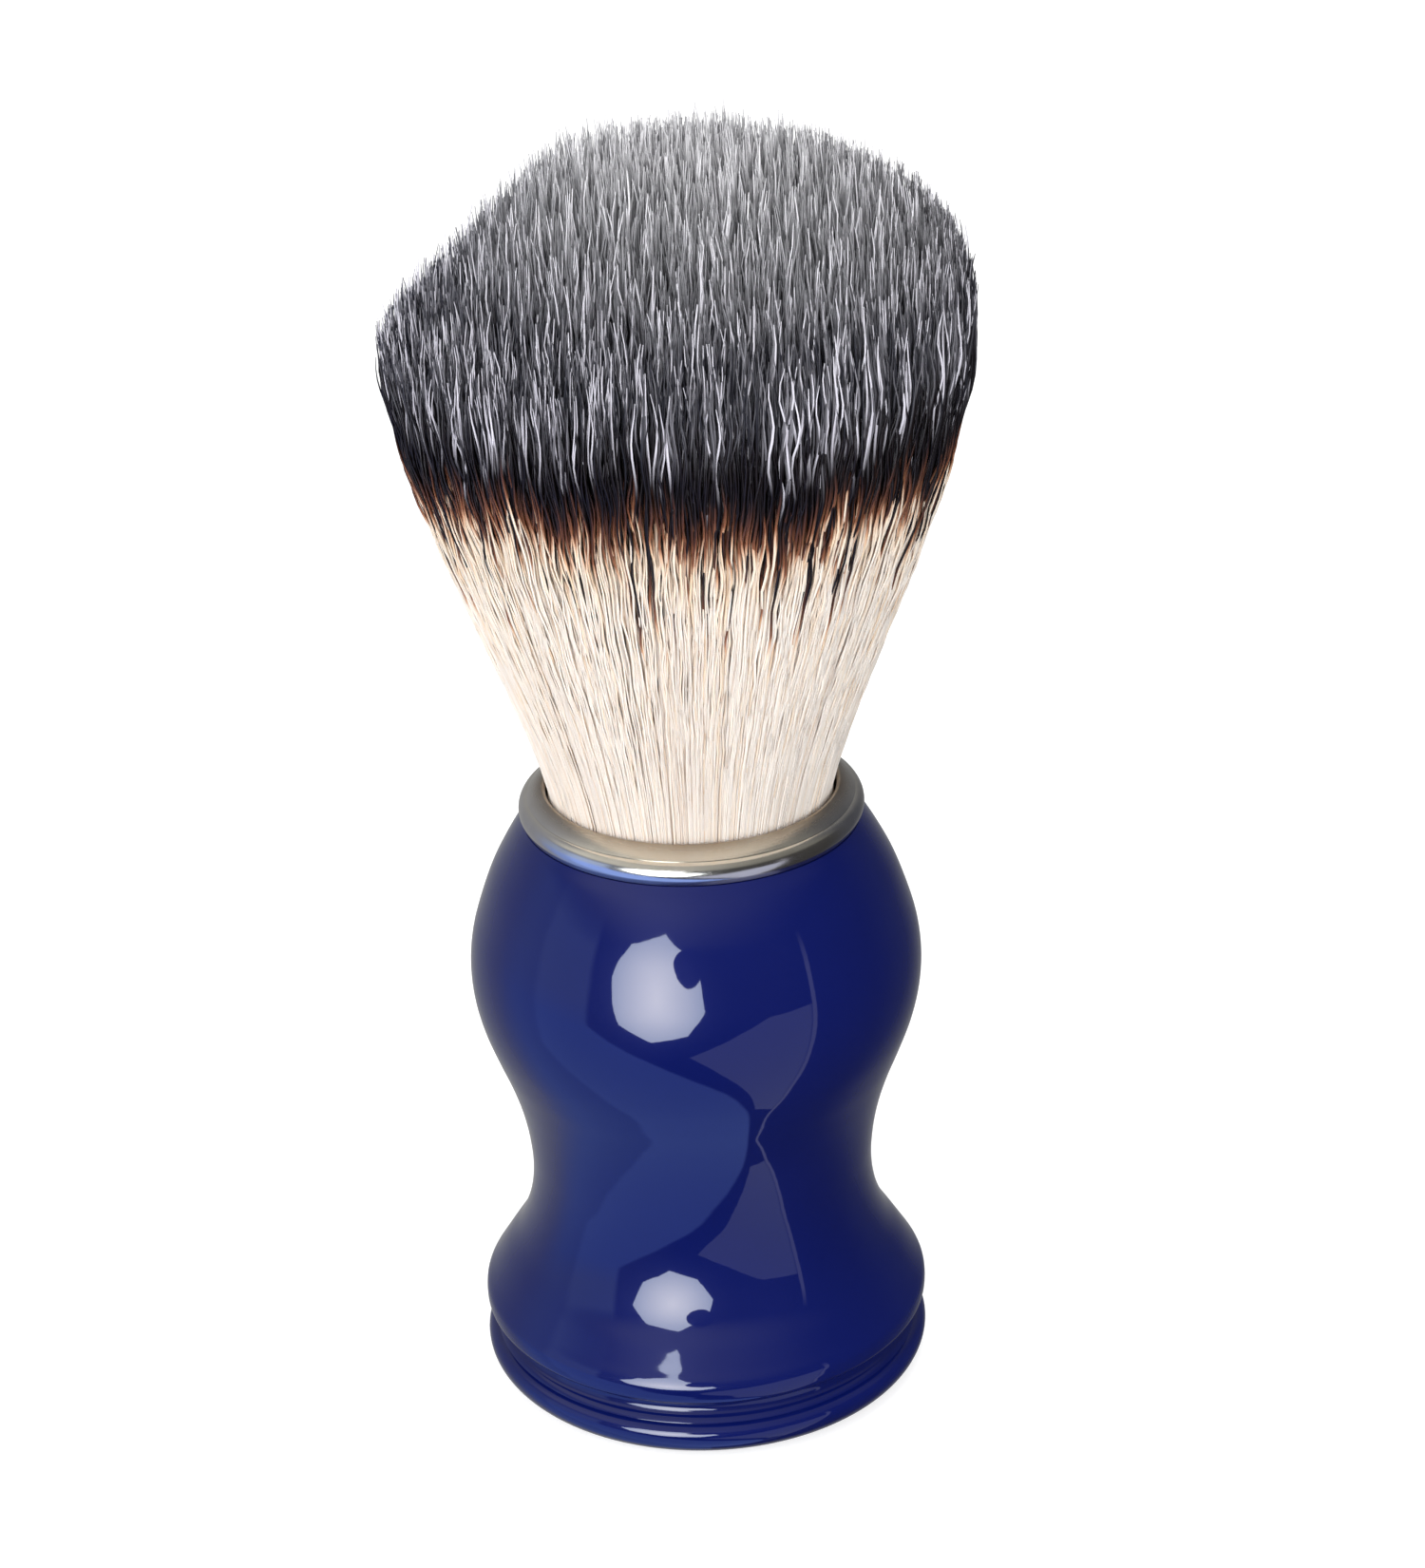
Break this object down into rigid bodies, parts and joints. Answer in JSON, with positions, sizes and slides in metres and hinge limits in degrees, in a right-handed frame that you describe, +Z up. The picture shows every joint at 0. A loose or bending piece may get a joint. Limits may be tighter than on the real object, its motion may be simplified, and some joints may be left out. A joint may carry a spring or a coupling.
{
  "type": "fade brush",
  "caption": "Free-standing shaving-style fade brush: turned glossy handle with bulb, waist and ringed foot, metal collar, flared dyed fibre knot that bends and springs back.",
  "frame": {"origin": "centre of the foot's resting face", "axes": "+Z up along the axis of the brush from foot to tips; -Y is the side that the picture shows"},
  "size_m": [0.0454, 0.0454, 0.1062],
  "materials": {
    "handle_lacquer": "high-gloss deep blue lacquer",
    "collar_metal": "polished flank, fine-turned top",
    "adhesive": "cured, slightly glossy",
    "plug_resin": "cast amber resin",
    "binding_cord": "waxed nylon cord",
    "fibre": "synthetic fibre, cream root, dark dyed band, grey tips"
  },
  "bodies": {
    "handle": {"handle": "handle_lacquer", "collar_ring": "collar_metal", "collar_adhesive": "adhesive", "socket_adhesive": "adhesive", "knot_plug": "plug_resin", "knot_binding": "binding_cord", "fibre_root": "fibre"},
    "lower_loft": {"fibre_lower_loft": "fibre"},
    "upper_loft": {"fibre_upper_loft": "fibre"}
  },
  "joints": [
    {"name": "loft_bend_fore_aft", "type": "hinge", "parent": "handle", "child": "lower_loft", "pos_m": [0, 0, 0.0482], "axis": [1, 0, 0], "range_deg": [-20, 20], "stiffness_Nm_per_rad": 0.25},
    {"name": "loft_bend_sideways", "type": "hinge", "parent": "lower_loft", "child": "upper_loft", "pos_m": [0, 0, 0.06], "axis": [0, 1, 0], "range_deg": [-20, 20], "stiffness_Nm_per_rad": 0.12}
  ]
}
